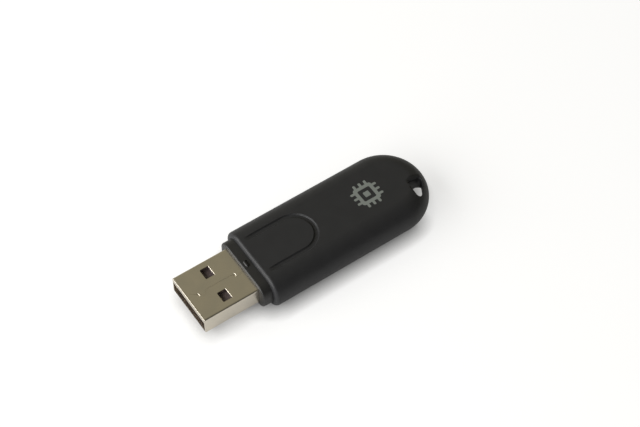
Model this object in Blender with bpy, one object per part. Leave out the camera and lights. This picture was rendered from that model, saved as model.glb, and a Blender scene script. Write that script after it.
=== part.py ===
"""USB flash drive, shown without its cap: a rounded housing in two shells, a neck collar, a folded steel plug
and the circuit board inside. Sizes are in millimetres and become metres where a mesh is made.
X is the width, the plug points along -Y, and the flat underside rests at Z = 0."""

import math

import bmesh
import bpy
from mathutils import Vector

MM = 0.001

# Overall
TOTAL_LENGTH = 56.3
BODY_WIDTH = 18.7
BODY_THICKNESS = 8.5
FRONT = -TOTAL_LENGTH / 2
MIDDLE = BODY_THICKNESS / 2

# Stations along Y
NECK_FACE = FRONT + 12.45
LIP = NECK_FACE + 2.15
SIDE_RADIUS = BODY_THICKNESS / 2
TAIL_RADIUS = BODY_WIDTH / 2
FLAT_HALF = TAIL_RADIUS - SIDE_RADIUS
TAIL_CENTRE = TOTAL_LENGTH / 2 - TAIL_RADIUS

# Housing
WALL = 1.15
LIP_EDGE = 0.65
PARTING = 2.0
PARTING_GAP = 0.1
CAVITY_SIDE_RADIUS = SIDE_RADIUS - WALL
RIB_FRONT = LIP + 1.05
RIB_BACK = LIP + 1.65
CAVITY_END = FRONT + 49.6
CLEARANCE = 0.3
SLIP = 0.2
RIM_INNER, RIM_OUTER, RIM_BOTTOM, RIM_TOP = 7.6, 8.0, 1.2, 2.7
RIM_FRONT, RIM_BACK = FRONT + 19.5, FRONT + 46.0
REBATE_INNER = 6.9
LEDGE_STATIONS = (FRONT + 27.0, FRONT + 45.0)
LEDGE_INNER, LEDGE_HALF_LENGTH = 6.5, 1.0
UPPER_LEDGE_OUTER, UPPER_LEDGE_TOP = 8.4, 6.4
LOWER_LEDGE_OUTER, LOWER_LEDGE_BOTTOM = 7.8, 1.3
PEG_X, PEG_Y, PEG_RADIUS, PEG_TOP = -3.5, FRONT + 51.5, 0.8, 4.5
FLOOR_DEPTH = 1.0

# U-shaped groove in the top face
GROOVE_OUTER = 5.0
GROOVE_INNER = 3.8
GROOVE_DEPTH = 0.3
GROOVE_START = LIP + 0.8
GROOVE_CENTRE = LIP + 10.35

# Lanyard hole near the tail
HOLE_LEFT = 2.0
HOLE_FRONT = TAIL_CENTRE + 4.1
HOLE_RADIUS = 7.9
HOLE_CORNER = 0.7
FLARE_START = 4.5
FLARE_SLOPE = 0.65

# Neck collar
NECK_HALF_WIDTH, NECK_HALF_HEIGHT, NECK_CORNER = 7.9, 3.2, 2.6
NECK_SECTION = (NECK_HALF_WIDTH, NECK_HALF_HEIGHT, NECK_CORNER)
NECK_EDGE = 0.35
GROOVED_SECTION = (7.2, 2.5, 2.2)
FLANGE_SECTION = (NECK_HALF_WIDTH, 2.8, NECK_CORNER)
COLLAR_END = LIP + 3.7
BUMP_Y, BUMP_HALF_LENGTH, BUMP_RADIUS = NECK_FACE + 0.95, 0.8, 0.32
POCKET_LENGTH, POCKET_DEPTH = 0.5, 0.35

# Plug
PLUG_WIDTH, PLUG_HEIGHT, PLUG_LENGTH = 12.0, 4.5, 18.8
SHEET = 0.3
PLUG_CORNER = 0.6
PLUG_TOP = MIDDLE + PLUG_HEIGHT / 2
PLUG_BOTTOM = MIDDLE - PLUG_HEIGHT / 2
LIP_HEIGHT = 1.65
WINDOW_X, WINDOW_Y = 3.2, FRONT + 6.35
WINDOW_WIDTH, WINDOW_LENGTH = 2.45, 1.95
SEAM_WIDTH = 0.1
SEAM = [(-0.9, 0.8), (1.0, 3.2), (0.0, 4.1), (0.0, 9.8), (0.9, 10.9), (0.5, 12.5)]
DIMPLES = [(0.28, 2.1), (0.38, 10.5)]
DIMPLE_RADIUS, DIMPLE_DEPTH = 0.4, 0.09
PRESS_GAP = 0.15
TAB_LENGTH, TAB_OVERLAP = 1.8, 0.8
TAB_BOTTOM, TAB_TOP = 2.7, 5.3

# Tongue and contacts
TONGUE_HALF_WIDTH = PLUG_WIDTH / 2 - SHEET - PRESS_GAP
TONGUE_TOP = PLUG_TOP - SHEET - PRESS_GAP
TONGUE_FACE = 4.4
TONGUE_FRONT = FRONT + 0.5
BLOCK_FRONT, BLOCK_BACK = FRONT + 12.0, FRONT + 18.2
CHANNEL_TOP = 4.85
SPRING_POCKET_DEPTH = 0.6
CONTACTS = {
    "contact_vbus": (-3.5, 1.9),
    "contact_data_minus": (-1.0, 2.9),
    "contact_data_plus": (1.0, 2.9),
    "contact_ground": (3.5, 1.9),
}
CONTACT_WIDTH, CONTACT_THICKNESS, CONTACT_Z = 1.0, 0.25, 4.42
CONTACT_END = FRONT + 21.4
CONTACT_TIP_RISE, CONTACT_TIP_LENGTH, CONTACT_STEP = 0.2, 0.4, 0.05

# Board
BOARD_FRONT, BOARD_BACK = FRONT + 19.1, FRONT + 48.7
BOARD_HALF_WIDTH = 7.2
BOARD_BOTTOM, BOARD_TOP = 3.3, 4.1
NOTCH_INNER, NOTCH_OUTER, NOTCH_LENGTH = 5.5, 6.2, 1.9
SOLDER_GAP = 0.1
LEAD_THICKNESS = 0.14
PACKAGE_GAP = 0.05

# Small parts on the board: name, x, station from the front, width, length, height, turned across the board
CHIP_PARTS = [
    ("resettable_fuse", -5.6, 22.5, 1.6, 3.2, 0.7, False),
    ("ferrite_bead", 5.6, 22.5, 1.25, 2.0, 0.9, False),
    ("series_resistor_1", -1.0, 22.2, 0.5, 1.0, 0.35, False),
    ("series_resistor_2", 1.0, 22.2, 0.5, 1.0, 0.35, False),
    ("crystal_capacitor_1", -0.6, 34.0, 0.8, 1.6, 0.8, False),
    ("crystal_capacitor_2", -0.6, 36.4, 0.8, 1.6, 0.8, False),
    ("supply_capacitor_1", 4.0, 38.6, 1.25, 2.0, 1.1, True),
    ("supply_capacitor_2", 1.6, 34.6, 0.8, 1.6, 0.8, False),
    ("pull_up_resistor_1", -4.0, 39.8, 0.8, 1.6, 0.45, True),
    ("pull_up_resistor_2", -4.0, 41.4, 0.8, 1.6, 0.45, True),
]


# Outlines


def plan_loop(reach, front, z, edge, stop=None, steps=16):
    """A plan outline at height z: straight front and sides, and a half-round tail about TAIL_CENTRE."""
    points = [
        (-reach, front + edge),
        (-reach + edge, front),
        (reach - edge, front),
        (reach, front + edge),
    ]
    for i in range(steps + 1):
        angle = math.pi * i / steps
        points.append((reach * math.cos(angle), TAIL_CENTRE + reach * math.sin(angle)))
    if stop is not None:
        points = [(x, min(y, stop)) for x, y in points]
    return [(x, y, z) for x, y in points]


def pill_loops(side_radius, front, edge, stop=None, levels=12):
    """Plan outlines from bottom to top of a flat body with fully rounded sides and tail."""
    loops = []
    for i in range(levels + 1):
        angle = math.pi * (i / levels - 0.5)
        rise = side_radius * math.sin(angle)
        setback = max(0.0, edge - (side_radius - abs(rise)))
        reach = FLAT_HALF + side_radius * math.cos(angle)
        loops.append(plan_loop(reach, front + setback, MIDDLE + rise, max(edge, 0.05), stop))
    return loops


def rounded_section(half_width, half_height, corner, y, steps=5):
    """A rounded rectangle standing across the drive at y, centred on the plug."""
    points = []
    for corner_index in range(4):
        centre_x = (half_width - corner) * (1 if corner_index in (0, 3) else -1)
        centre_z = (half_height - corner) * (1 if corner_index in (0, 1) else -1)
        for i in range(steps + 1):
            angle = math.pi / 2 * (corner_index + i / steps)
            points.append(
                (centre_x + corner * math.cos(angle), y, MIDDLE + centre_z + corner * math.sin(angle))
            )
    return points


def box_loops(x0, x1, y0, y1, z0, z1):
    plan = [(x0, y0), (x1, y0), (x1, y1), (x0, y1)]
    return [[(x, y, z) for x, y in plan] for z in (z0, z1)]


def prism_loops(plan, z0, z1):
    return [[(x, y, z) for x, y in plan] for z in (z0, z1)]


def disc_plan(x, y, radius, steps=16):
    turns = [2 * math.pi * i / steps for i in range(steps)]
    return [(x + radius * math.cos(turn), y + radius * math.sin(turn)) for turn in turns]


def u_plan(steps=14):
    """The groove's plan: a band that starts behind the lip, runs back, round, and forward again."""
    points = []
    for radius, turns in ((GROOVE_OUTER, range(steps + 1)), (GROOVE_INNER, range(steps, -1, -1))):
        arc = [
            (radius * math.cos(math.pi * i / steps), GROOVE_CENTRE + radius * math.sin(math.pi * i / steps))
            for i in turns
        ]
        sign = 1 if radius == GROOVE_OUTER else -1
        points += [(sign * radius, GROOVE_START)] + arc + [(-sign * radius, GROOVE_START)]
    return points


def hole_plan(growth, steps=8):
    """The lanyard hole: a straight front edge and left edge, and an outer edge that follows the tail."""
    radius = HOLE_RADIUS + growth
    left = HOLE_LEFT - growth
    front = HOLE_FRONT - growth * 0.3
    start = math.asin((front - TAIL_CENTRE) / radius)
    end = math.acos(left / radius)
    arc = [start + (end - start) * i / steps for i in range(steps + 1)]
    points = [(radius * math.cos(turn), TAIL_CENTRE + radius * math.sin(turn)) for turn in arc]
    cut_in = HOLE_CORNER * 0.3
    corner = [(left, front + HOLE_CORNER), (left + cut_in, front + cut_in), (left + HOLE_CORNER, front)]
    return points + corner


def ribbon_loops(path, width, thickness, origin, outward, across):
    """A bent strip: path holds (distance along outward, height) and the strip is centred on it."""
    loops = []
    for i, (distance, height) in enumerate(path):
        before, after = path[max(i - 1, 0)], path[min(i + 1, len(path) - 1)]
        along = Vector((after[0] - before[0], after[1] - before[1])).normalized()
        rise = Vector((-along.y, along.x)) * thickness / 2
        loop = []
        for side, level in ((-1, -1), (1, -1), (1, 1), (-1, 1)):
            point = Vector(origin) + Vector(across) * side * width / 2
            point += Vector(outward) * (distance + level * rise.x)
            loop.append(point + Vector((0, 0, height + level * rise.y)))
        loops.append(loop)
    return loops


# Objects


def clear_scene():
    for obj in list(bpy.data.objects):
        bpy.data.objects.remove(obj, do_unlink=True)


def make_collections():
    made = {}
    for name in ("usb_flash_drive", "cutters"):
        made[name] = bpy.data.collections.new(name)
        bpy.context.scene.collection.children.link(made[name])
    made["cutters"].hide_render = True
    return made


def make_material(name, colour, metallic, roughness):
    material = bpy.data.materials.new(name)
    material.use_nodes = True
    shader = material.node_tree.nodes["Principled BSDF"]
    shader.inputs["Base Color"].default_value = (*colour, 1.0)
    shader.inputs["Metallic"].default_value = metallic
    shader.inputs["Roughness"].default_value = roughness
    return material


def make_object(name, lofts, collection, material=None):
    """One object from several closed lofts, each a list of loops with equal point counts."""
    work = bmesh.new()
    for loops in lofts:
        rings = [[work.verts.new(Vector(point) * MM) for point in loop] for loop in loops]
        for low, high in zip(rings, rings[1:]):
            for i in range(len(low)):
                j = (i + 1) % len(low)
                work.faces.new((low[i], low[j], high[j], high[i]))
        work.faces.new(rings[0][::-1])
        work.faces.new(rings[-1])
    bmesh.ops.remove_doubles(work, verts=work.verts, dist=1e-7)
    bmesh.ops.recalc_face_normals(work, faces=work.faces)
    mesh = bpy.data.meshes.new(name)
    work.to_mesh(mesh)
    work.free()
    mesh.shade_smooth()
    mesh.set_sharp_from_angle(angle=math.radians(35))
    if material:
        mesh.materials.append(material)
    obj = bpy.data.objects.new(name, mesh)
    collection.objects.link(obj)
    return obj


def boolean(target, operation, name, lofts):
    """Joins, cuts or intersects the target with a helper solid."""
    helper = make_object(f"{target.name}.{name}", lofts, COLLECTIONS["cutters"])
    helper.hide_render = True
    helper.display_type = "WIRE"
    modifier = target.modifiers.new(name, "BOOLEAN")
    modifier.operation = operation
    modifier.solver = "EXACT"
    modifier.object = helper
    return modifier


def make_part(name, lofts, material):
    return make_object(name, lofts, COLLECTIONS["usb_flash_drive"], MATERIALS[material])


# Housing


def cut_hollow(shell):
    boolean(shell, "DIFFERENCE", "cavity", [pill_loops(CAVITY_SIDE_RADIUS, RIB_BACK, 0.0, CAVITY_END)])
    wide = [size + CLEARANCE for size in NECK_SECTION]
    seat = [rounded_section(*wide, y) for y in (LIP - 1.0, RIB_FRONT)]
    boolean(shell, "DIFFERENCE", "neck_seat", [seat])
    narrow = [size + CLEARANCE for size in GROOVED_SECTION]
    opening = [rounded_section(*narrow, y) for y in (RIB_FRONT - 0.5, RIB_BACK + 0.5)]
    boolean(shell, "DIFFERENCE", "rib_opening", [opening])


def cut_lanyard_hole(shell):
    boolean(shell, "DIFFERENCE", "hole", [prism_loops(hole_plan(0.0), -1.0, BODY_THICKNESS + 1.0)])
    low = -0.5
    wide = hole_plan((FLARE_START - low) * FLARE_SLOPE)
    flare = [[(x, y, low) for x, y in wide], [(x, y, FLARE_START) for x, y in hole_plan(0.0)]]
    boolean(shell, "DIFFERENCE", "flare", [flare])


def ledge_boxes(outer, z0, z1):
    """Four blocks along the side walls that hold the board's edges."""
    boxes = []
    for station in LEDGE_STATIONS:
        y0, y1 = station - LEDGE_HALF_LENGTH, station + LEDGE_HALF_LENGTH
        boxes.append(box_loops(LEDGE_INNER, outer, y0, y1, z0, z1))
        boxes.append(box_loops(-outer, -LEDGE_INNER, y0, y1, z0, z1))
    return boxes


def half_space(z0, z1):
    """A slab wider and longer than the housing."""
    return box_loops(-BODY_WIDTH, BODY_WIDTH, -TOTAL_LENGTH, TOTAL_LENGTH, z0, z1)


def upper_shell():
    shell = make_part("upper_shell", [pill_loops(SIDE_RADIUS, LIP, LIP_EDGE)], "housing")
    keep = half_space(PARTING + PARTING_GAP / 2, BODY_THICKNESS * 2)
    boolean(shell, "INTERSECT", "above_parting", [keep])
    cut_hollow(shell)
    ledges = ledge_boxes(UPPER_LEDGE_OUTER, BOARD_TOP + SLIP, UPPER_LEDGE_TOP)
    boolean(shell, "UNION", "ledges", ledges)
    front, back = RIM_FRONT - CLEARANCE, RIM_BACK + CLEARANCE
    rebates = [
        box_loops(side * REBATE_INNER, side * (RIM_OUTER + SLIP), front, back, FLOOR_DEPTH, RIM_TOP + SLIP)
        for side in (-1, 1)
    ]
    boolean(shell, "DIFFERENCE", "rebates", rebates)
    groove = prism_loops(u_plan(), BODY_THICKNESS - GROOVE_DEPTH, BODY_THICKNESS + 1.0)
    boolean(shell, "DIFFERENCE", "groove", [groove])
    cut_lanyard_hole(shell)
    peg_hole = prism_loops(disc_plan(PEG_X, PEG_Y, PEG_RADIUS + SLIP), FLOOR_DEPTH, PEG_TOP + SLIP)
    boolean(shell, "DIFFERENCE", "peg_hole", [peg_hole])
    return shell


def lower_shell():
    shell = make_part("lower_shell", [pill_loops(SIDE_RADIUS, LIP, LIP_EDGE)], "housing")
    keep = half_space(-BODY_THICKNESS, PARTING - PARTING_GAP / 2)
    boolean(shell, "INTERSECT", "below_parting", [keep])
    cut_hollow(shell)
    rims = [
        box_loops(side * RIM_INNER, side * RIM_OUTER, RIM_FRONT, RIM_BACK, RIM_BOTTOM, RIM_TOP)
        for side in (-1, 1)
    ]
    boolean(shell, "UNION", "rims", rims)
    ledges = ledge_boxes(LOWER_LEDGE_OUTER, LOWER_LEDGE_BOTTOM, BOARD_BOTTOM - SLIP)
    boolean(shell, "UNION", "ledges", ledges)
    peg = prism_loops(disc_plan(PEG_X, PEG_Y, PEG_RADIUS), FLOOR_DEPTH, PEG_TOP)
    boolean(shell, "UNION", "peg", [peg])
    cut_lanyard_hole(shell)
    return shell


def neck_collar():
    eased = [size - NECK_EDGE for size in NECK_SECTION]
    stations = (
        (eased, NECK_FACE),
        (NECK_SECTION, NECK_FACE + NECK_EDGE),
        (NECK_SECTION, RIB_FRONT - CLEARANCE),
        (GROOVED_SECTION, RIB_FRONT - CLEARANCE),
        (GROOVED_SECTION, RIB_BACK + CLEARANCE),
        (FLANGE_SECTION, RIB_BACK + CLEARANCE),
        (FLANGE_SECTION, COLLAR_END),
    )
    collar = make_part("neck_collar", [[rounded_section(*size, y) for size, y in stations]], "collar")
    bumps, pockets = [], []
    for side in (-1, 1):
        face = MIDDLE + side * NECK_HALF_HEIGHT
        turns = disc_plan(BUMP_Y, face, BUMP_RADIUS, 12)
        bumps.append([[(x, y, z) for y, z in turns] for x in (-BUMP_HALF_LENGTH, BUMP_HALF_LENGTH)])
        y0 = BUMP_Y + BUMP_RADIUS + 0.05
        z0, z1 = face - POCKET_DEPTH, face + POCKET_DEPTH
        pockets.append(box_loops(-BUMP_HALF_LENGTH, BUMP_HALF_LENGTH, y0, y0 + POCKET_LENGTH, z0, z1))
    boolean(collar, "UNION", "detent_bumps", bumps)
    boolean(collar, "DIFFERENCE", "detent_pockets", pockets)
    opening = (PLUG_WIDTH / 2 + PRESS_GAP, PLUG_HEIGHT / 2 + PRESS_GAP, PLUG_CORNER + PRESS_GAP)
    passage = [rounded_section(*opening, y) for y in (NECK_FACE - 1.0, COLLAR_END + 1.0)]
    boolean(collar, "DIFFERENCE", "plug_passage", [passage])
    return collar


# Plug


def seam_plan():
    """The folded seam as a thin zigzag band in plan."""
    left = [(x - SEAM_WIDTH / 2, FRONT + y) for x, y in SEAM]
    right = [(x + SEAM_WIDTH / 2, FRONT + y) for x, y in SEAM]
    return left + right[::-1]


def window_boxes(z0, z1):
    """The two spring windows, side by side, between two heights."""
    y0, y1 = WINDOW_Y - WINDOW_LENGTH / 2, WINDOW_Y + WINDOW_LENGTH / 2
    middles = (-WINDOW_X, WINDOW_X)
    return [box_loops(x - WINDOW_WIDTH / 2, x + WINDOW_WIDTH / 2, y0, y1, z0, z1) for x in middles]


def dimple_loops(x, y):
    """A shallow pressed cone in the top of the plug."""
    levels = ((DIMPLE_RADIUS * 2, PLUG_TOP + DIMPLE_DEPTH), (DIMPLE_RADIUS * 0.3, PLUG_TOP - DIMPLE_DEPTH))
    return [[(px, py, z) for px, py in disc_plan(x, FRONT + y, radius, 12)] for radius, z in levels]


def plug_shell():
    outer = (PLUG_WIDTH / 2, PLUG_HEIGHT / 2, PLUG_CORNER)
    inner = (outer[0] - SHEET, outer[1] - SHEET, PLUG_CORNER - SHEET)
    back = FRONT + PLUG_LENGTH
    shell = make_part("plug_shell", [[rounded_section(*outer, y) for y in (FRONT, back)]], "steel")
    bore = [rounded_section(*inner, y) for y in (FRONT + SHEET, back + 1.0)]
    boolean(shell, "DIFFERENCE", "bore", [bore])
    z0, z1 = PLUG_BOTTOM + SHEET, PLUG_TOP - LIP_HEIGHT
    mouth = box_loops(-inner[0], inner[0], FRONT - 1.0, FRONT + 1.0, z0, z1)
    boolean(shell, "DIFFERENCE", "mouth", [mouth])
    through = SHEET + 0.2
    for name, face in (("lower_windows", PLUG_BOTTOM), ("upper_windows", PLUG_TOP)):
        boolean(shell, "DIFFERENCE", name, window_boxes(face - through, face + through))
    seam = prism_loops(seam_plan(), PLUG_TOP - through, PLUG_TOP + through)
    boolean(shell, "DIFFERENCE", "seam", [seam])
    boolean(shell, "DIFFERENCE", "dimples", [dimple_loops(x, y) for x, y in DIMPLES])
    y0, y1 = back - TAB_OVERLAP, back + TAB_LENGTH
    tabs = [box_loops(side * inner[0], side * outer[0], y0, y1, TAB_BOTTOM, TAB_TOP) for side in (-1, 1)]
    boolean(shell, "UNION", "solder_tabs", tabs)
    return shell


def plug_tongue():
    half = TONGUE_HALF_WIDTH
    block = box_loops(-half, half, BLOCK_FRONT, BLOCK_BACK, PLUG_BOTTOM + SHEET + PRESS_GAP, TONGUE_TOP)
    tongue = make_part("plug_tongue", [block], "tongue")
    blade = box_loops(-half, half, TONGUE_FRONT, BLOCK_FRONT + 1.0, TONGUE_FACE, TONGUE_TOP)
    boolean(tongue, "UNION", "blade", [blade])
    reach, z0 = CONTACT_WIDTH / 2 + PRESS_GAP, TONGUE_FACE - SLIP
    channels = []
    for x, start in CONTACTS.values():
        y0 = FRONT + start - CONTACT_TIP_LENGTH
        channels.append(box_loops(x - reach, x + reach, y0, BLOCK_BACK + 1.0, z0, CHANNEL_TOP))
    boolean(tongue, "DIFFERENCE", "contact_channels", channels)
    pockets = window_boxes(TONGUE_TOP - SPRING_POCKET_DEPTH, TONGUE_TOP + SPRING_POCKET_DEPTH)
    boolean(tongue, "DIFFERENCE", "spring_pockets", pockets)
    return tongue


def contact(name, x, start):
    end = CONTACT_END - FRONT
    path = [
        (start, CONTACT_Z + CONTACT_TIP_RISE),
        (start + CONTACT_TIP_LENGTH, CONTACT_Z),
        (end - 2.6, CONTACT_Z),
        (end - 2.0, CONTACT_Z - CONTACT_STEP),
        (end, CONTACT_Z - CONTACT_STEP),
    ]
    loops = ribbon_loops(path, CONTACT_WIDTH, CONTACT_THICKNESS, (x, FRONT, 0), (0, 1, 0), (1, 0, 0))
    return make_part(name, [loops], "contact")


# Board and its parts


def circuit_board():
    w, front, back, notch = BOARD_HALF_WIDTH, BOARD_FRONT, BOARD_BACK, NOTCH_LENGTH
    right = [
        (NOTCH_INNER, front),
        (NOTCH_INNER, front + notch),
        (NOTCH_OUTER, front + notch),
        (NOTCH_OUTER, front),
        (w, front),
        (w, back - 1.0),
        (w - 1.0, back),
    ]
    plan = right + [(-x, y) for x, y in reversed(right)]
    return make_part("circuit_board", [prism_loops(plan, BOARD_BOTTOM, BOARD_TOP)], "board")


def gull_wing(reach, drop):
    """Path of a lead from inside the package, out, down and along the board."""
    return [(-0.3, 0.0), (0.25, 0.0), (0.4, -drop), (reach, -drop)]


def packaged_chip(name, body, rows, pitch, lead_width, reach, up):
    """A chip with gull-wing leads. Rows lists (outward direction, half size that way, number of leads)."""
    chip = make_part(name, [box_loops(*body)], "chip")
    x0, x1, y0, y1, z0, z1 = body
    x, y, lead_z = (x0 + x1) / 2, (y0 + y1) / 2, (z0 + z1) / 2
    foot = LEAD_THICKNESS / 2
    drop = (lead_z - z0 + PACKAGE_GAP - foot) if up else (lead_z - z1 - PACKAGE_GAP + foot)
    leads = []
    for (dx, dy), half_size, count in rows:
        outward, across = (dx, dy, 0), (-dy, dx, 0)
        for i in range(count):
            offset = (i - (count - 1) / 2) * pitch
            origin = (x + dx * half_size - dy * offset, y + dy * half_size + dx * offset, lead_z)
            path = gull_wing(reach, drop)
            leads.append(ribbon_loops(path, lead_width, LEAD_THICKNESS, origin, outward, across))
    boolean(chip, "UNION", "leads", leads)
    return chip


def controller_chip():
    half, height, station = 3.5, 1.4, FRONT + 27.5
    rows = [((dx, dy), half, 12) for dx, dy in ((1, 0), (0, 1), (-1, 0), (0, -1))]
    z0 = BOARD_TOP + SOLDER_GAP + PACKAGE_GAP
    body = (-half, half, station - half, station + half, z0, z0 + height)
    return packaged_chip("controller_chip", body, rows, pitch=0.5, lead_width=0.22, reach=1.0, up=True)


def flash_memory_chip():
    half_width, half_length, height, station = 6.0, 9.2, 1.0, FRONT + 37.6
    rows = [((0, dy), half_length, 24) for dy in (1, -1)]
    z1 = BOARD_BOTTOM - SOLDER_GAP - PACKAGE_GAP
    body = (-half_width, half_width, station - half_length, station + half_length, z1 - height, z1)
    return packaged_chip("flash_memory_chip", body, rows, pitch=0.5, lead_width=0.22, reach=0.8, up=False)


def voltage_regulator():
    half_width, half_length, height = 1.45, 0.8, 1.1
    x, y = 4.0, FRONT + 35.2
    rows = [((0, 1), half_length, 2), ((0, -1), half_length, 3)]
    z0 = BOARD_TOP + SOLDER_GAP + PACKAGE_GAP
    body = (x - half_width, x + half_width, y - half_length, y + half_length, z0, z0 + height)
    return packaged_chip("voltage_regulator", body, rows, pitch=0.95, lead_width=0.4, reach=0.6, up=True)


def crystal():
    half_width, half_length, step = 1.6, 2.5, 0.25
    x, y, z0 = -4.0, FRONT + 35.0, BOARD_TOP + SOLDER_GAP
    base = box_loops(x - half_width, x + half_width, y - half_length, y + half_length, z0, z0 + 0.7)
    can = make_part("crystal", [base], "steel")
    half_width, half_length = half_width - step, half_length - step
    lid = box_loops(x - half_width, x + half_width, y - half_length, y + half_length, z0 + 0.4, z0 + 1.1)
    boolean(can, "UNION", "lid", [lid])
    return can


def end_capped_chip(name, x, station, width, length, height, across):
    """A resistor, capacitor or similar: a body with a slightly larger metal cap at each end."""
    cap, step, z0 = length * 0.22, 0.04, BOARD_TOP + SOLDER_GAP
    y = FRONT + station
    sections = (
        (-length / 2, 0.0),
        (-length / 2 + cap, 0.0),
        (-length / 2 + cap, step),
        (length / 2 - cap, step),
        (length / 2 - cap, 0.0),
        (length / 2, 0.0),
    )
    loops = []
    for along, inset in sections:
        half, low, high = width / 2 - inset, z0 + inset, z0 + height - inset
        corners = ((-half, low), (half, low), (half, high), (-half, high))
        loops.append([(x + along, y + s, z) if across else (x + s, y + along, z) for s, z in corners])
    kind = "capacitor" if "capacitor" in name else "resistor"
    return make_part(name, [loops], kind)


clear_scene()
COLLECTIONS = make_collections()
MATERIALS = {
    "housing": make_material("black_housing_plastic", (0.012, 0.012, 0.011), 0.0, 0.42),
    "collar": make_material("black_collar_plastic", (0.012, 0.012, 0.011), 0.0, 0.35),
    "steel": make_material("nickel_plated_steel", (0.58, 0.56, 0.52), 1.0, 0.28),
    "tongue": make_material("dark_insulator_plastic", (0.03, 0.026, 0.027), 0.0, 0.5),
    "contact": make_material("gold_plated_contact", (0.85, 0.62, 0.25), 1.0, 0.25),
    "board": make_material("green_board_laminate", (0.01, 0.09, 0.035), 0.0, 0.45),
    "chip": make_material("black_epoxy_package", (0.015, 0.015, 0.016), 0.0, 0.55),
    "capacitor": make_material("tan_ceramic", (0.42, 0.30, 0.18), 0.0, 0.5),
    "resistor": make_material("dark_ceramic", (0.03, 0.03, 0.035), 0.0, 0.5),
}

upper_shell()
lower_shell()
neck_collar()
plug_shell()
plug_tongue()
for contact_name, (contact_x, contact_start) in CONTACTS.items():
    contact(contact_name, contact_x, contact_start)
circuit_board()
controller_chip()
flash_memory_chip()
voltage_regulator()
crystal()
for chip_part in CHIP_PARTS:
    end_capped_chip(*chip_part)
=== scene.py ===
"""Looks for the USB flash drive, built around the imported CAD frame.
Lengths in this script are millimetres and become metres where a mesh is made. X is the width, the plug points
along -Y, and the drive lies flat on the floor at Z = 0."""

import math

import bmesh
import bpy
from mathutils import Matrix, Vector


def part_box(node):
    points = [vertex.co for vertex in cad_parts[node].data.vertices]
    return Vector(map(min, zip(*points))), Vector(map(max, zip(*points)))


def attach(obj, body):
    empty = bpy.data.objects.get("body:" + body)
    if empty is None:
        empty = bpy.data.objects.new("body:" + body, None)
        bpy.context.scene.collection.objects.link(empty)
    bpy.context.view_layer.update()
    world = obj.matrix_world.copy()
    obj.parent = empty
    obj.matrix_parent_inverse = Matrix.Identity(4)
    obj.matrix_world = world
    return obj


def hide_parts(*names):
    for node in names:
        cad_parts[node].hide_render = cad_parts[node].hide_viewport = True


MM = 0.001

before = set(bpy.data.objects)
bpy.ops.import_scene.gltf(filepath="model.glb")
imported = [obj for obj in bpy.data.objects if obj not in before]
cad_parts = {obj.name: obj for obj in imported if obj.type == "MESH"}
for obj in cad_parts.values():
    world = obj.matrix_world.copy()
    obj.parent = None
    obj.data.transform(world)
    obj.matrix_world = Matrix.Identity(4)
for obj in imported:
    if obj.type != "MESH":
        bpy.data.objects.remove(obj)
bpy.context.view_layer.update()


def span(node):
    """Lowest and highest corner of a CAD node, to the nearest thousandth of a millimetre."""
    return [Vector([round(size / MM, 3) for size in corner]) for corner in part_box(node)]


TOP_LOW, TOP_HIGH = span("upper_shell")
NECK_LOW, NECK_HIGH = span("neck_collar")
PLUG_LOW, PLUG_HIGH = span("plug_shell")

# Housing
INK = 0.02
THICKNESS = TOP_HIGH.z
TOP = THICKNESS - INK
MIDDLE = THICKNESS / 2
SIDE_RADIUS = THICKNESS / 2
TAIL_RADIUS = TOP_HIGH.x
FLAT_HALF = TAIL_RADIUS - SIDE_RADIUS
TAIL_CENTRE = TOP_HIGH.y - TAIL_RADIUS
LIP = TOP_LOW.y
LIP_FILLET = 0.8
PARTING_HALF_GAP = 0.04
CAD_HALF_GAP = 0.05
PARTING = TOP_LOW.z - CAD_HALF_GAP
PARTING_BEVEL = 0.06
WALL = 1.15
CAVITY_END = TAIL_CENTRE + 2.65
RIB_FRONT, RIB_BACK = LIP + 1.05, LIP + 1.65

# Groove in the top face
GROOVE_MIDDLE = 4.4
GROOVE_CENTRE = LIP + 10.35
GROOVE_DEPTH = 0.3
GROOVE_SHOULDER = 0.15
GROOVE_HALF = 0.6
GROOVE_SLOPE = math.radians(60)
GROOVE_GRAZING = math.radians(15)
GROOVE_FOOT = 0.12
GROOVE_END, GROOVE_FULL = LIP + 0.8, LIP + 3.6
GROOVE_CLEAR = 0.05

# Lanyard hole, measured from the tail's centre
HOLE_LEFT = 2.3
HOLE_FRONT = 4.1
HOLE_RADIUS = 7.9
HOLE_CORNER = 0.6
HOLE_RIMS = {"left": 0.85, "front": 0.3, "outer": 0.3}
RIM_GRAZING = math.radians(75)
RIM_RISE, RIM_RUN = 0.05, 0.185
FLARE_START = 4.5
FLARE_END = -0.5
FLARE_SLOPE = 0.65
FLARE_FORWARD = 0.3

# Neck
NECK_FACE = NECK_LOW.y
NECK_SECTION = (NECK_HIGH.x, 3.2, 2.6)
NECK_FILLET = 0.35
SPIGOT_SECTION = (7.2, 2.5, 2.2)
FLANGE_SECTION = (NECK_HIGH.x, 2.8, 2.6)
FIT_GAP = 0.06
RIB_GAP = 0.1
PASSAGE_GAP = 0.03
PASSAGE_CHAMFER = 0.08
BUMP_RADIUS = NECK_HIGH.z - MIDDLE - NECK_SECTION[1]
BUMP_Y = NECK_FACE + 0.95
BUMP_HALF = 0.8
POCKET_CENTRE = (0.0, BUMP_Y + BUMP_RADIUS + 0.1)
POCKET_HALF_Y, POCKET_CORNER, POCKET_DEPTH = 0.28, 0.26, 0.18

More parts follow.
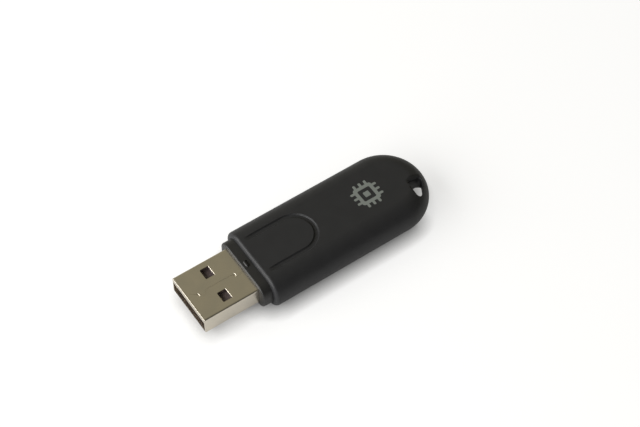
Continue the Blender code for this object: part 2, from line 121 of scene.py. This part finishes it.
# Plug
FRONT = PLUG_LOW.y
PLUG_HALF = PLUG_HIGH.x
PLUG_TOP, PLUG_BOTTOM = PLUG_HIGH.z, PLUG_LOW.z
PLUG_BACK = FRONT + 18.8
SHEET = 0.3
PLUG_SECTION = (PLUG_HALF, (PLUG_TOP - PLUG_BOTTOM) / 2, 0.4)
FRONT_EDGE = 0.07
FRONT_LIP = 1.82
FRONT_LIP_CURL = 0.75
LIP_OVERLAP = {"top": 0.04, "sides": 0.05}
FLUSH_GAP = 0.004
LOWER_EDGE_LEAN = 0.2
WINDOW_X, WINDOW_Y = 3.2, FRONT + 6.35
WINDOW_HALF_X, WINDOW_HALF_Y, WINDOW_CORNER = 1.225, 0.975, 0.12
WINDOW_EASE = 0.07
SEAM_WIDTH = 0.04
SEAM = [(-0.9, 0.8), (1.0, 3.2), (0.0, 4.1), (0.0, 9.8), (0.9, 10.9), (0.5, 12.5)]
DIMPLES = [(0.28, FRONT + 2.1), (0.38, FRONT + 10.5)]
DIMPLE_HALF_X, DIMPLE_HALF_Y, DIMPLE_DEPTH = 0.5, 0.26, 0.09

# Printed pictogram
MARK_CENTRE = (0.2, FRONT + 42.5)
MARK_FRAME = ((2.2, 0.55), (1.45, 0.3))
MARK_CORE, MARK_CORE_CORNER = 0.65, 0.15
MARK_LEG = (0.28, 0.6)
MARK_PITCH = 1.3
MARK_REACH = 2.5

# View, floor and light
VIEW_AZIMUTH, VIEW_ELEVATION = math.radians(55.48), math.radians(54.76)
VIEW_TARGET = Vector((-3.62, 5.47, MIDDLE))
VIEW_DISTANCE = 327.23
# Painted shade and painted light on the floor: how far the glow's darkening reaches, how steeply it falls
# off, and how strong the glow is
SHADE_REACH = 3.6
SHADE_POWER = 1.5
FLOOR_GLOW = {"unseen": 0.27, "seen": 0.7}
FLOOR_TONE = {"unseen": 0.45, "seen": 0.44}
ROOM_LEFT, ROOM_RIGHT = (0.325, 0.305, 0.232), (0.042, 0.041, 0.036)
BACKDROP = (0.97, 0.97, 0.97)


# Mesh building

SHARP_ANGLE = math.radians(38)


def arc(radius, start, end, steps, centre=(0.0, 0.0)):
    """Points on a circle from one angle to another, in degrees."""
    turns = [math.radians(start + (end - start) * i / steps) for i in range(steps + 1)]
    return [(centre[0] + radius * math.cos(t), centre[1] + radius * math.sin(t)) for t in turns]


def skin(work, rings, closed):
    """Adds quads between neighbouring rings, and closes the ends or joins the last ring to the first."""
    made = [[work.verts.new(Vector(point) * MM) for point in ring] for ring in rings]
    pairs = list(zip(made, made[1:]))
    if closed:
        pairs.append((made[-1], made[0]))
    else:
        work.faces.new(made[0][::-1])
        work.faces.new(made[-1])
    for low, high in pairs:
        for i in range(len(low)):
            j = (i + 1) % len(low)
            work.faces.new((low[i], low[j], high[j], high[i]))


def solid(name, lofts, closed=False):
    """One mesh object from lofts, each a list of rings with equal point counts."""
    work = bmesh.new()
    for rings in lofts:
        skin(work, rings, closed)
    bmesh.ops.remove_doubles(work, verts=work.verts, dist=2e-7)
    bmesh.ops.dissolve_degenerate(work, edges=work.edges, dist=1e-8)
    bmesh.ops.recalc_face_normals(work, faces=work.faces)
    mesh = bpy.data.meshes.new(name)
    work.to_mesh(mesh)
    work.free()
    obj = bpy.data.objects.new(name, mesh)
    bpy.context.scene.collection.objects.link(obj)
    return obj


def apply_modifiers(obj):
    graph = bpy.context.evaluated_depsgraph_get()
    mesh = bpy.data.meshes.new_from_object(obj.evaluated_get(graph))
    obj.modifiers.clear()
    old = obj.data
    obj.data = mesh
    bpy.data.meshes.remove(old)


def cut(target, lofts, operation="DIFFERENCE"):
    """Cuts the lofts from the target, or joins them to it, and leaves no cutter behind."""
    helper = solid("cutter", lofts)
    modifier = target.modifiers.new("cut", "BOOLEAN")
    modifier.operation = operation
    modifier.solver = "EXACT"
    modifier.object = helper
    apply_modifiers(target)
    bpy.data.objects.remove(helper)


def finish_shape(obj, name):
    """Smooth shading with true corners kept, and flat faces that stay flat."""
    obj.name = name
    obj.data.name = name
    obj.data.shade_smooth()
    obj.data.set_sharp_from_angle(angle=SHARP_ANGLE)
    modifier = obj.modifiers.new("flat faces", "WEIGHTED_NORMAL")
    modifier.keep_sharp = True
    modifier.weight = 100
    return obj


def prism(plan, low, high):
    """Rings of an upright solid with that plan, between two heights."""
    return [[(x, y, z) for x, y in plan] for z in (low, high)]


def rounded_plan(half_x, half_y, corner, centre=(0.0, 0.0), steps=6):
    """Rounded rectangle in plan."""
    points = []
    for start, sx, sy in ((0, 1, 1), (90, -1, 1), (180, -1, -1), (270, 1, -1)):
        middle = (centre[0] + sx * (half_x - corner), centre[1] + sy * (half_y - corner))
        points += arc(corner, start, start + 90, steps, middle)
    return points


def cross_section(half_x, half_z, corner, y, steps=10):
    """Rounded rectangle standing across the drive at y, centred on the plug."""
    return [(x, y, MIDDLE + z) for x, z in rounded_plan(half_x, half_z, corner, steps=steps)]


# Housing


def body_outline(z, side_radius=SIDE_RADIUS, front=LIP, fillet=LIP_FILLET, shrink=0.0):
    """Plan outline of the housing at height z: filleted lip corners, straight sides and a round tail."""
    height = min(abs(z - MIDDLE), side_radius)
    reach = FLAT_HALF + math.sqrt(side_radius**2 - height**2) - shrink
    last_turn = math.acos(max(0.0, 1 - (side_radius - height) / fillet)) if fillet else 0.0
    corner = []
    for i in range(7):
        turn = last_turn * i / 6
        inset = fillet * (1 - math.cos(turn))
        half = FLAT_HALF + math.sqrt(max(0.0, (side_radius - inset) ** 2 - height**2)) - shrink
        corner.append((half, front + fillet * (1 - math.sin(turn)) + shrink))
    left = [(-x, y) for x, y in corner]
    return left + corner[::-1] + arc(reach, 0, 180, 64, (0.0, TAIL_CENTRE))


def body_rings(low, high, steps):
    """Outlines between two heights, spaced evenly round the rounded side."""
    start = math.asin((low - MIDDLE) / SIDE_RADIUS)
    end = math.asin((high - MIDDLE) / SIDE_RADIUS)
    rings = []
    for i in range(steps + 1):
        z = MIDDLE + SIDE_RADIUS * math.sin(start + (end - start) * i / steps)
        rings.append([(x, y, min(z, TOP)) for x, y in body_outline(z)])
    return rings


def eased_ring(z):
    return [(x, y, z) for x, y in body_outline(z, shrink=PARTING_BEVEL)]


def cavity_rings():
    """The space inside, a wall's thickness in from the outside and squared off before the lanyard hole."""
    radius = SIDE_RADIUS - WALL
    rings = []
    for i in range(13):
        z = MIDDLE + radius * math.sin(math.radians(-90 + 15 * i))
        outline = body_outline(z, radius, RIB_BACK, 0.0)
        rings.append([(x, min(y, CAVITY_END), z) for x, y in outline])
    return rings


def wider(section, growth):
    return tuple(size + growth for size in section)


def hollow(shell):
    """Cuts the cavity, the neck's seat and the opening in the rib."""
    cut(shell, [cavity_rings()])
    seat = wider(NECK_SECTION, FIT_GAP)
    cut(shell, [[cross_section(*seat, y) for y in (LIP - 1.0, RIB_FRONT)]])
    opening = wider(SPIGOT_SECTION, FIT_GAP * 2)
    cut(shell, [[cross_section(*opening, y) for y in (RIB_FRONT - 0.5, RIB_BACK + 0.5)]])


def groove_profile():
    """Half of the groove's cutter across its run, from above the surface down to the floor."""
    turns = [GROOVE_GRAZING + (GROOVE_SLOPE - GROOVE_GRAZING) * i / 4 for i in range(5)]
    edge = GROOVE_HALF + 0.02
    shoulder = [(edge - GROOVE_SHOULDER * math.sin(t), GROOVE_SHOULDER * (math.cos(t) - 1)) for t in turns]
    foot_top = -GROOVE_DEPTH + GROOVE_FOOT * (1 - math.cos(GROOVE_SLOPE))
    run = (shoulder[-1][1] - foot_top) / math.tan(GROOVE_SLOPE)
    foot_centre = shoulder[-1][0] - run - GROOVE_FOOT * math.sin(GROOVE_SLOPE)
    foot = [
        (foot_centre + GROOVE_FOOT * math.sin(t), -GROOVE_DEPTH + GROOVE_FOOT * (1 - math.cos(t)))
        for t in (GROOVE_SLOPE * (1 - i / 3) for i in range(4))
    ]
    rise = 0.03
    above = (shoulder[0][0] + rise / math.tan(GROOVE_GRAZING), shoulder[0][1] + rise)
    return [(above[0], 1.0), above] + shoulder + foot


def groove_path():
    """Stations of the groove: (x, y, direction away from the island, height above the full depth)."""
    leg = [GROOVE_END + (GROOVE_CENTRE - GROOVE_END) * i / 12 for i in range(12)]

    def lift(y):
        share = min(1.0, max(0.0, (GROOVE_FULL - y) / (GROOVE_FULL - GROOVE_END)))
        return (GROOVE_DEPTH + GROOVE_CLEAR) * share * share * (3 - 2 * share)

    left = [(-GROOVE_MIDDLE, y, (-1.0, 0.0), lift(y)) for y in leg]
    bend = []
    for i in range(49):
        turn = math.pi * (1 - i / 48)
        away = (math.cos(turn), math.sin(turn))
        bend.append((GROOVE_MIDDLE * away[0], GROOVE_CENTRE + GROOVE_MIDDLE * away[1], away, 0.0))
    right = [(GROOVE_MIDDLE, y, (1.0, 0.0), lift(y)) for y in reversed(leg)]
    return left + bend + right


def groove_rings():
    half = groove_profile()
    profile = half + [(-across, height) for across, height in reversed(half)]
    rings = []
    for x, y, away, lift in groove_path():
        rings.append([(x + away[0] * d, y + away[1] * d, TOP + h + lift) for d, h in profile])
    return rings


def surface_height(x, y):
    """Height of the housing's upper surface."""
    reach = math.hypot(x, max(0.0, y - TAIL_CENTRE))
    beyond = max(0.0, reach - FLAT_HALF)
    return min(TOP, MIDDLE + math.sqrt(max(0.0, SIDE_RADIUS**2 - beyond**2)))


def hole_outline():
    """Points and outward directions of the lanyard hole, relative to the tail's centre."""
    inner = HOLE_RADIUS - HOLE_CORNER
    near = (HOLE_LEFT + HOLE_CORNER, HOLE_FRONT + HOLE_CORNER)
    right = (math.sqrt(inner**2 - near[1] ** 2), near[1])
    top = (near[0], math.sqrt(inner**2 - near[0] ** 2))
    right_turn = math.degrees(math.atan2(right[1], right[0]))
    top_turn = math.degrees(math.atan2(top[1], top[0]))
    spans = (
        (near, HOLE_CORNER, 180, 270, 8),
        (right, HOLE_CORNER, -90, right_turn, 8),
        ((0.0, 0.0), HOLE_RADIUS, right_turn, top_turn, 14),
        (top, HOLE_CORNER, top_turn, 180, 8),
    )
    outline = []
    for centre, radius, start, end, steps in spans:
        directions = arc(1.0, start, end, steps)
        outline += [((centre[0] + radius * c, centre[1] + radius * s), (c, s)) for c, s in directions]
    return outline


def rim_radius(direction):
    """Rounding of the hole's rim, which is softest on the side towards the drive's middle."""
    left = max(0.0, -direction[0]) ** 2
    front = max(0.0, -direction[1]) ** 2
    outer = max(0.0, 1 - left - front)
    return HOLE_RIMS["left"] * left + HOLE_RIMS["front"] * front + HOLE_RIMS["outer"] * outer


def rim_ring(turn, rise=0.0, run=0.0):
    """A ring of the hole's cutter on the rounded rim, raised over it and widened where those are given."""
    ring = []
    for (x, y), direction in hole_outline():
        radius = rim_radius(direction)
        offset = radius * (1 - math.cos(turn)) + run
        px, py = x + direction[0] * offset, TAIL_CENTRE + y + direction[1] * offset
        ring.append((px, py, surface_height(px, py) - radius * (1 - math.sin(turn)) + rise))
    return ring


def wall_ring(z, growth=0.0):
    """A level ring of the hole's cutter, widened by growth, but less so towards the plug."""
    ring = []
    for (x, y), direction in hole_outline():
        forward = FLARE_FORWARD if direction[1] < 0 else 1.0
        ring.append((x + direction[0] * growth, TAIL_CENTRE + y + direction[1] * growth * forward, z))
    return ring


def hole_rings():
    """The lanyard hole's cutter, from above the drive down past its underside."""
    over = rim_ring(RIM_GRAZING, RIM_RISE, RIM_RUN)
    lid = [(x, y, THICKNESS + 1.0) for x, y, _ in over]
    rim = [rim_ring(RIM_GRAZING * (1 - i / 6)) for i in range(7)]
    flare = wall_ring(FLARE_END, (FLARE_START - FLARE_END) * FLARE_SLOPE)
    return [lid, over] + rim + [wall_ring(FLARE_START), flare]


def housing_top():
    lowest = PARTING + PARTING_HALF_GAP
    rings = [eased_ring(lowest)] + body_rings(lowest + PARTING_BEVEL, THICKNESS, 26)
    shell = solid("housing", [rings])
    cut(shell, [hole_rings()])
    cut(shell, [groove_rings()])
    hollow(shell)
    return finish_shape(shell, "housing_top")


def housing_bottom():
    highest = PARTING - PARTING_HALF_GAP
    rings = body_rings(0.0, highest - PARTING_BEVEL, 12) + [eased_ring(highest)]
    shell = solid("housing", [rings])
    cut(shell, [hole_rings()])
    hollow(shell)
    return finish_shape(shell, "housing_bottom")


# Neck


def collar():
    """A sleeve round the plug: its outside runs back into the housing, its inside follows the plug."""
    rings = []
    for i in range(7):
        turn = math.radians(90 - 15 * i)
        inset = NECK_FILLET * (1 - math.cos(turn))
        y = NECK_FACE + NECK_FILLET * (1 - math.sin(turn))
        rings.append(cross_section(*wider(NECK_SECTION, -inset), y))
    for section, y in (
        (NECK_SECTION, RIB_FRONT - RIB_GAP),
        (SPIGOT_SECTION, RIB_FRONT - RIB_GAP),
        (SPIGOT_SECTION, RIB_BACK + RIB_GAP),
        (FLANGE_SECTION, RIB_BACK + RIB_GAP),
        (FLANGE_SECTION, NECK_HIGH.y),
    ):
        rings.append(cross_section(*section, y))
    passage = wider(PLUG_SECTION, PASSAGE_GAP)
    rings.append(cross_section(*passage, NECK_HIGH.y))
    rings.append(cross_section(*passage, NECK_FACE + PASSAGE_CHAMFER))
    rings.append(cross_section(*wider(passage, PASSAGE_CHAMFER), NECK_FACE))
    sleeve = solid("collar", [rings], closed=True)
    for side in (-1, 1):
        face = MIDDLE + side * NECK_SECTION[1]
        pocket = rounded_plan(BUMP_HALF, POCKET_HALF_Y, POCKET_CORNER, POCKET_CENTRE)
        cut(sleeve, [prism(pocket, face - POCKET_DEPTH, face + POCKET_DEPTH)])
        cut(sleeve, [bump_rings(face)], "UNION")
    return finish_shape(sleeve, "collar")


def bump_rings(face):
    """The small ridge that holds a cap, along X with rounded ends."""
    rings = []
    for i in range(13):
        along = math.cos(math.pi * (1 - i / 12))
        radius = BUMP_RADIUS * max(0.15, 1 - along**6) ** 0.5
        rings.append([(along * BUMP_HALF, y, z) for y, z in arc(radius, 0, 337.5, 15, (BUMP_Y, face))])
    return rings


# Plug


def plug_jacket():
    """The folded steel sheet, with its bent front edge, windows, seam and two pressed dimples."""
    rings = [cross_section(*PLUG_SECTION, PLUG_BACK)]
    for i in range(7):
        rings.append(front_edge_ring(math.radians(15 * i)))
    inner = wider(PLUG_SECTION, -SHEET)
    rings += [cross_section(*inner, FRONT), cross_section(*inner, PLUG_BACK)]
    jacket = solid("jacket", [rings], closed=True)
    cut(jacket, [lip_rings()], "UNION")
    cut(jacket, [under_bevel()])
    for side in (-1, 1):
        for face, facing in ((PLUG_TOP, 1), (PLUG_BOTTOM, -1)):
            cut(jacket, [window_rings(side * WINDOW_X, face, facing)])
    cut(jacket, [seam_rings()])
    for x, y in DIMPLES:
        cut(jacket, [dimple_rings(x, y)])
    return finish_shape(jacket, "plug_jacket")


def front_edge_ring(turn):
    """A ring of the sheet's eased front edge."""
    inset = FRONT_EDGE * (1 - math.cos(turn))
    return cross_section(*wider(PLUG_SECTION, -inset), FRONT + FRONT_EDGE * (1 - math.sin(turn)))


def under_bevel():
    """Leans the lower front edge of the sheet back, so that it faces the floor under the plug."""
    reach = PLUG_HALF + 1.0
    start, end = PLUG_BOTTOM + SHEET * 0.9, PLUG_BOTTOM - 0.02
    back, before = FRONT + LOWER_EDGE_LEAN, FRONT - LOWER_EDGE_LEAN
    section = [(FRONT, start), (back, end), (before, end), (before, start)]
    return [[(x, y, z) for y, z in section] for x in (-reach, reach)]


def lip_rings():
    """The part of the sheet that turns down in front of the insulator, and curls in at its end."""
    low, high = PLUG_TOP - FRONT_LIP, PLUG_TOP - SHEET + LIP_OVERLAP["top"]
    half = PLUG_HALF - SHEET + LIP_OVERLAP["sides"]
    front, depth = FRONT + FLUSH_GAP, SHEET - 0.02
    section = [(front, high)]
    for i in range(9):
        turn = math.radians(90 * i / 8)
        z = low + FRONT_LIP_CURL * (1 - math.sin(turn))
        section.append((front + depth * (1 - math.cos(turn)), z))
    section += [(front + SHEET, low), (front + SHEET, high)]
    return [[(x, y, z) for y, z in section] for x in (-half, half)]


def window_rings(x, face, facing):
    """A window's cutter, which flares a little at the sheet's surface."""
    rings = []
    for depth, ease in ((0.55, 0.0), (0.04, 0.0), (-0.03, WINDOW_EASE), (-0.3, WINDOW_EASE)):
        half_x, half_y, corner = (size + ease for size in (WINDOW_HALF_X, WINDOW_HALF_Y, WINDOW_CORNER))
        plan = rounded_plan(half_x, half_y, corner, (x, WINDOW_Y), 3)
        rings.append([(px, py, face - facing * depth) for px, py in plan])
    return rings


def seam_rings():
    half = SEAM_WIDTH / 2
    path = [(x, FRONT + y) for x, y in SEAM]
    plan = [(x - half, y) for x, y in path] + [(x + half, y) for x, y in reversed(path)]
    return prism(plan, PLUG_TOP - SHEET / 2, PLUG_TOP + SHEET)


def dimple_rings(x, y):
    """A shallow pressed pit, longer across the plug than along it."""
    rings = []
    for i in range(7):
        turn = math.radians(90 - 15 * i)
        size = max(0.12, math.sin(turn))
        half_x, half_y = DIMPLE_HALF_X * size, DIMPLE_HALF_Y * size
        z = PLUG_TOP - DIMPLE_DEPTH * math.cos(turn)
        rings.append([(x + half_x * c, y + half_y * s, z) for c, s in arc(1.0, 0, 345, 23)])
    over = [(px, py, PLUG_TOP + SHEET) for px, py, _ in rings[0]]
    return [over] + rings


# Printed pictogram: a plain chip symbol


def printed_mark():
    low, high = TOP - INK, TOP + INK
    outer, inner = (rounded_plan(half, half, corner, MARK_CENTRE) for half, corner in MARK_FRAME)
    ring = [[(px, py, z) for px, py in plan]
            for plan, z in ((outer, low), (outer, high), (inner, high), (inner, low))]
    mark = solid("mark", [ring], closed=True)
    x, y = MARK_CENTRE
    pads = [rounded_plan(MARK_CORE, MARK_CORE, MARK_CORE_CORNER, MARK_CENTRE)]
    thin, long = MARK_LEG
    for step in (-MARK_PITCH, 0.0, MARK_PITCH):
        for reach in (-MARK_REACH, MARK_REACH):
            pads.append(rounded_plan(thin, long, thin * 0.8, (x + step, y + reach)))
            pads.append(rounded_plan(long, thin, thin * 0.8, (x + reach, y + step)))
    cut(mark, [prism(plan, low, high) for plan in pads], "UNION")
    return finish_shape(mark, "printed_mark")


# Materials

DRAWN = (1.0, 0.12, 1.0)
COLOUR_PATCH, GLOSS_PATCH = 0.35, 0.945


def start_material(name, colour, metallic, roughness, ior=1.47):
    material = bpy.data.materials.new(name)
    material.use_nodes = True
    shader = material.node_tree.nodes["Principled BSDF"]
    shader.inputs["Base Color"].default_value = (*colour, 1.0)
    shader.inputs["Metallic"].default_value = metallic
    shader.inputs["Roughness"].default_value = roughness
    shader.inputs["IOR"].default_value = ior
    return material, shader


def millimetres(material, scale=(1.0, 1.0, 1.0)):
    """Object coordinates in millimetres, stretched by scale."""
    nodes, links = material.node_tree.nodes, material.node_tree.links
    place = nodes.new("ShaderNodeTexCoord")
    mapping = nodes.new("ShaderNodeMapping")
    mapping.inputs["Scale"].default_value = [s / MM for s in scale]
    links.new(place.outputs["Object"], mapping.inputs["Vector"])
    return mapping.outputs["Vector"]


def noise(material, vector, scale, detail=3.0, roughness=0.5):
    node = material.node_tree.nodes.new("ShaderNodeTexNoise")
    node.inputs["Scale"].default_value = scale
    node.inputs["Detail"].default_value = detail
    node.inputs["Roughness"].default_value = roughness
    material.node_tree.links.new(vector, node.inputs["Vector"])
    return node.outputs["Fac"]


def spread(material, value, low, high):
    """Turns a 0 to 1 value into one between low and high, with the middle of the range drawn out."""
    node = material.node_tree.nodes.new("ShaderNodeMapRange")
    node.inputs["From Min"].default_value = 0.3
    node.inputs["From Max"].default_value = 0.7
    node.inputs["To Min"].default_value = low
    node.inputs["To Max"].default_value = high
    material.node_tree.links.new(value, node.inputs["Value"])
    return node.outputs["Result"]


def mix_colour(material, value, first, second):
    node = material.node_tree.nodes.new("ShaderNodeMix")
    node.data_type = "RGBA"
    node.inputs["A"].default_value = (*first, 1.0)
    node.inputs["B"].default_value = (*second, 1.0)
    material.node_tree.links.new(value, node.inputs["Factor"])
    return node.outputs["Result"]


def bump(material, shader, value, height):
    """Relief of that height in millimetres."""
    node = material.node_tree.nodes.new("ShaderNodeBump")
    node.inputs["Strength"].default_value = 1.0
    node.inputs["Distance"].default_value = height * MM
    material.node_tree.links.new(value, node.inputs["Height"])
    material.node_tree.links.new(node.outputs["Normal"], shader.inputs["Normal"])


def textured(name, colours, metallic, roughness, grain, relief, ior=1.47, stretch=(1.0, 1.0, 1.0)):
    """A material whose colour and gloss drift in patches, with a fine grain in relief."""
    material, shader = start_material(name, colours[0], metallic, sum(roughness) / 2, ior)
    links = material.node_tree.links
    vector = millimetres(material)
    drift = spread(material, noise(material, vector, COLOUR_PATCH), 0.0, 1.0)
    links.new(mix_colour(material, drift, *colours), shader.inputs["Base Color"])
    gloss = noise(material, vector, GLOSS_PATCH, 5.0, 0.6)
    links.new(spread(material, gloss, *roughness), shader.inputs["Roughness"])
    grain_value = noise(material, millimetres(material, stretch), grain, 2.0)
    bump(material, shader, grain_value, relief)
    return material


def ink():
    """Grey print, a little broken up by the plastic's grain."""
    darker, lighter = (0.21, 0.23, 0.215), (0.245, 0.265, 0.25)
    material, shader = start_material("grey_ink", darker, 0.0, 0.5)
    vector = millimetres(material)
    speckle = noise(material, vector, 14.0, 4.0, 0.7)
    colour = mix_colour(material, spread(material, speckle, 0.0, 1.0), darker, lighter)
    material.node_tree.links.new(colour, shader.inputs["Base Color"])
    bump(material, shader, noise(material, vector, 9.0, 2.0), 0.004)
    return material


def laminate():
    """Green solder mask over faint copper runs."""
    mask, over_copper = (0.008, 0.075, 0.03), (0.015, 0.13, 0.05)
    material, shader = start_material("green_laminate", mask, 0.0, 0.4)
    nodes, links = material.node_tree.nodes, material.node_tree.links
    vector = millimetres(material)
    runs = nodes.new("ShaderNodeTexWave")
    runs.inputs["Scale"].default_value = 0.55
    runs.inputs["Distortion"].default_value = 2.5
    links.new(vector, runs.inputs["Vector"])
    colour = mix_colour(material, runs.outputs["Fac"], mask, over_copper)
    links.new(colour, shader.inputs["Base Color"])
    bump(material, shader, runs.outputs["Fac"], 0.03)
    return material


def paint(obj, material):
    obj.data.materials.clear()
    obj.data.materials.append(material)


# Stage


def floor(material):
    half, thickness = 3000.0, 2.0
    corners = [(-half, -half), (half, -half), (half, half), (-half, half)]
    ground = solid("floor", [prism(corners, -thickness, 0.0)])
    paint(ground, material)


def by_ray(material, camera_ray, amounts):
    """One amount for the floor as the camera sees it, and another for the light it sends to the drive."""
    node = material.node_tree.nodes.new("ShaderNodeMapRange")
    node.inputs["To Min"].default_value = amounts["unseen"]
    node.inputs["To Max"].default_value = amounts["seen"]
    material.node_tree.links.new(camera_ray, node.inputs["Value"])
    return node.outputs["Result"]


def floor_material():
    """A pale sheet lit from all round that also glows: the glow is painted light, and painted shade dims it
    where the drive hides the sheet from the surroundings.
    """
    white = (1.0, 1.0, 1.0)
    material, shader = start_material("pale_sheet", white, 0.0, 0.9)
    nodes, links = material.node_tree.nodes, material.node_tree.links
    # Painted shade: the glow fades close to the drive, like a contact shadow
    shade = nodes.new("ShaderNodeAmbientOcclusion")
    shade.inputs["Distance"].default_value = SHADE_REACH * MM
    eased = nodes.new("ShaderNodeMath")
    eased.operation = "POWER"
    eased.inputs[1].default_value = SHADE_POWER
    links.new(shade.outputs["AO"], eased.inputs[0])
    # Painted light: the camera sees a stronger glow and tone than the light the sheet sends to the drive
    camera_ray = nodes.new("ShaderNodeLightPath").outputs["Is Camera Ray"]
    glow = nodes.new("ShaderNodeMath")
    glow.operation = "MULTIPLY"
    links.new(eased.outputs["Value"], glow.inputs[0])
    links.new(by_ray(material, camera_ray, FLOOR_GLOW), glow.inputs[1])
    shader.inputs["Emission Color"].default_value = (*white, 1.0)
    links.new(glow.outputs["Value"], shader.inputs["Emission Strength"])
    links.new(by_ray(material, camera_ray, FLOOR_TONE), shader.inputs["Base Color"])
    return material


def soft_light(name, direction, distance, width, height, power):
    """A rectangular soft light, sized in metres, that faces the drive from that direction."""
    data = bpy.data.lights.new(name, "AREA")
    data.shape = "RECTANGLE"
    data.size = width
    data.size_y = height
    data.energy = power
    light = bpy.data.objects.new(name, data)
    bpy.context.scene.collection.objects.link(light)
    towards = Vector(direction).normalized()
    light.location = towards * distance
    light.rotation_euler = towards.to_track_quat("Z", "Y").to_euler()


def room():
    """Surroundings that fade from warm grey on the left to dark on the right, and a pale backdrop."""
    world = bpy.data.worlds.new("room")
    bpy.context.scene.world = world
    world.use_nodes = True
    nodes, links = world.node_tree.nodes, world.node_tree.links
    nodes.clear()
    around = nodes.new("ShaderNodeBackground")
    place = nodes.new("ShaderNodeTexCoord")
    parts = nodes.new("ShaderNodeSeparateXYZ")
    share = nodes.new("ShaderNodeMapRange")
    share.inputs["From Min"].default_value = -1.0
    shades = nodes.new("ShaderNodeMix")
    shades.data_type = "RGBA"
    shades.inputs["A"].default_value = (*ROOM_LEFT, 1.0)
    shades.inputs["B"].default_value = (*ROOM_RIGHT, 1.0)
    links.new(place.outputs["Generated"], parts.inputs["Vector"])
    links.new(parts.outputs["X"], share.inputs["Value"])
    links.new(share.outputs["Result"], shades.inputs["Factor"])
    links.new(shades.outputs["Result"], around.inputs["Color"])
    seen = nodes.new("ShaderNodeBackground")
    seen.inputs["Color"].default_value = (*BACKDROP, 1.0)
    path = nodes.new("ShaderNodeLightPath")
    mixed = nodes.new("ShaderNodeMixShader")
    output = nodes.new("ShaderNodeOutputWorld")
    links.new(path.outputs["Is Camera Ray"], mixed.inputs["Fac"])
    links.new(around.outputs["Background"], mixed.inputs[1])
    links.new(seen.outputs["Background"], mixed.inputs[2])
    links.new(mixed.outputs["Shader"], output.inputs["Surface"])


def camera():
    """A long lens on the view's line of sight, aimed at a point in the drive's middle plane."""
    data = bpy.data.cameras.new("camera")
    data.sensor_width = 36.0
    data.lens = 90.4
    data.clip_start = 0.01
    view = bpy.data.objects.new("camera", data)
    bpy.context.scene.collection.objects.link(view)
    level = math.cos(VIEW_ELEVATION)
    towards = Vector((
        math.sin(VIEW_AZIMUTH) * level,
        -math.cos(VIEW_AZIMUTH) * level,
        math.sin(VIEW_ELEVATION),
    ))
    view.location = (VIEW_TARGET + towards * VIEW_DISTANCE) * MM
    view.rotation_euler = (math.pi / 2 - VIEW_ELEVATION, 0.0, VIEW_AZIMUTH)
    bpy.context.scene.camera = view


def studio():
    room()
    floor(floor_material())
    soft_light("key", (-0.12, -0.9, 0.5), distance=0.6, width=1.0, height=0.5, power=6.4)
    camera()
    bpy.context.scene.view_settings.view_transform = "Standard"


# Assembly

HOUSING = textured(
    "matte_black_plastic", ((0.0245, 0.025, 0.0272), (0.0275, 0.028, 0.0302)),
    metallic=0.0, roughness=(0.42, 0.5), grain=11.0, relief=0.004, ior=1.43,
)
COLLAR = textured(
    "black_collar_plastic", ((0.0205, 0.0205, 0.0205), (0.0235, 0.0235, 0.0235)),
    metallic=0.0, roughness=(0.36, 0.44), grain=8.0, relief=0.0008, ior=1.5,
)
STEEL = textured(
    "nickel_plated_steel", ((0.80, 0.745, 0.64), (0.86, 0.79, 0.665)),
    metallic=1.0, roughness=(0.235, 0.265), grain=6.0, relief=0.0002, stretch=DRAWN,
)
INSULATOR = textured(
    "dark_insulator", ((0.10, 0.077, 0.078), (0.12, 0.092, 0.092)),
    metallic=0.0, roughness=(0.45, 0.55), grain=9.0, relief=0.004,
)
GOLD = textured(
    "gold_plating", ((0.85, 0.6, 0.24), (0.9, 0.66, 0.3)),
    metallic=1.0, roughness=(0.2, 0.3), grain=6.0, relief=0.002, stretch=DRAWN,
)
EPOXY = textured(
    "moulded_epoxy", ((0.014, 0.014, 0.015), (0.02, 0.02, 0.021)),
    metallic=0.0, roughness=(0.5, 0.6), grain=12.0, relief=0.006,
)
CERAMIC = textured(
    "tan_ceramic", ((0.38, 0.27, 0.16), (0.46, 0.33, 0.2)),
    metallic=0.0, roughness=(0.4, 0.5), grain=12.0, relief=0.004,
)
RESISTIVE = textured(
    "dark_ceramic", ((0.025, 0.025, 0.03), (0.04, 0.04, 0.045)),
    metallic=0.0, roughness=(0.3, 0.4), grain=12.0, relief=0.004,
)

for piece, material, node, slot in (
    (housing_top(), HOUSING, "upper_shell", "housing"),
    (housing_bottom(), HOUSING, "lower_shell", "housing"),
    (collar(), COLLAR, "neck_collar", "collar"),
    (plug_jacket(), STEEL, "plug_shell", "steel"),
):
    paint(piece, material)
    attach(piece, "root")
    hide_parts(node)

mark = printed_mark()
paint(mark, ink())
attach(mark, "root")

INNER = {
    "plug_tongue": INSULATOR,
    "circuit_board": laminate(),
    "controller_chip": EPOXY,
    "flash_memory_chip": EPOXY,
    "voltage_regulator": EPOXY,
    "crystal": STEEL,
    "resettable_fuse": RESISTIVE,
    "ferrite_bead": RESISTIVE,
}
for name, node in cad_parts.items():
    if name.startswith("contact_"):
        paint(node, GOLD)
    elif "capacitor" in name:
        paint(node, CERAMIC)
    elif "resistor" in name:
        paint(node, RESISTIVE)
    elif name in INNER:
        paint(node, INNER[name])

studio()
